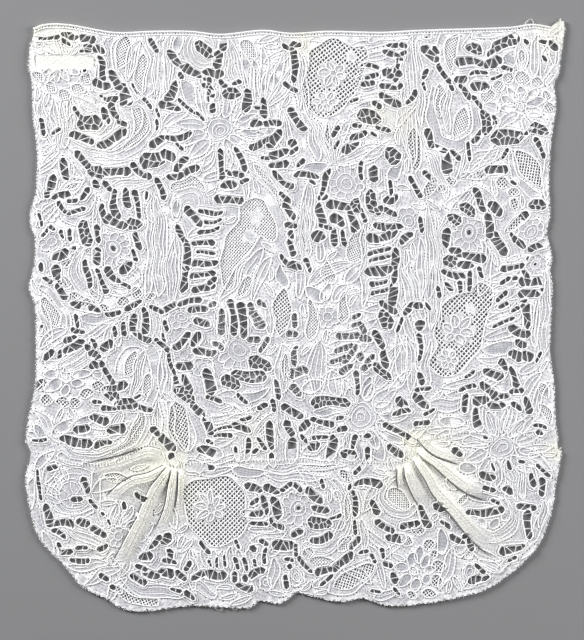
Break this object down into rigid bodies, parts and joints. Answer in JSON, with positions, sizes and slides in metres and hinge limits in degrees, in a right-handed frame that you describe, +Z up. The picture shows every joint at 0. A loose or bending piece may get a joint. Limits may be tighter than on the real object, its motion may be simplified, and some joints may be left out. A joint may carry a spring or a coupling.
{
  "type": "cravat end",
  "caption": "Flat cravat end of white bobbin lace with a whipped straight heading, rounded lower corners and a pleated lower border.",
  "frame": {"origin": "bottom centre of the bounding box, on the surface that the lace lies on", "axes": "+Z up out of the lace, +Y towards the heading, +X to the right as seen from above with the heading away"},
  "size_m": [0.35, 0.383, 0.005],
  "materials": {
    "lace": "fine linen thread, matt, slightly grey in the cloth work and whiter on the outlines",
    "border_lace": "fine linen thread, matt, creamier in the gathered pleats",
    "footing": "whipped linen thread edge",
    "tape": "plain woven cotton tape, creamy white",
    "net": "fine sheer mending net"
  },
  "bodies": {
    "root": {"upper_panel": "lace", "lower_border": "border_lace", "heading_footing": "footing", "label_tape": "tape", "mending_net": "net"}
  },
  "joints": []
}
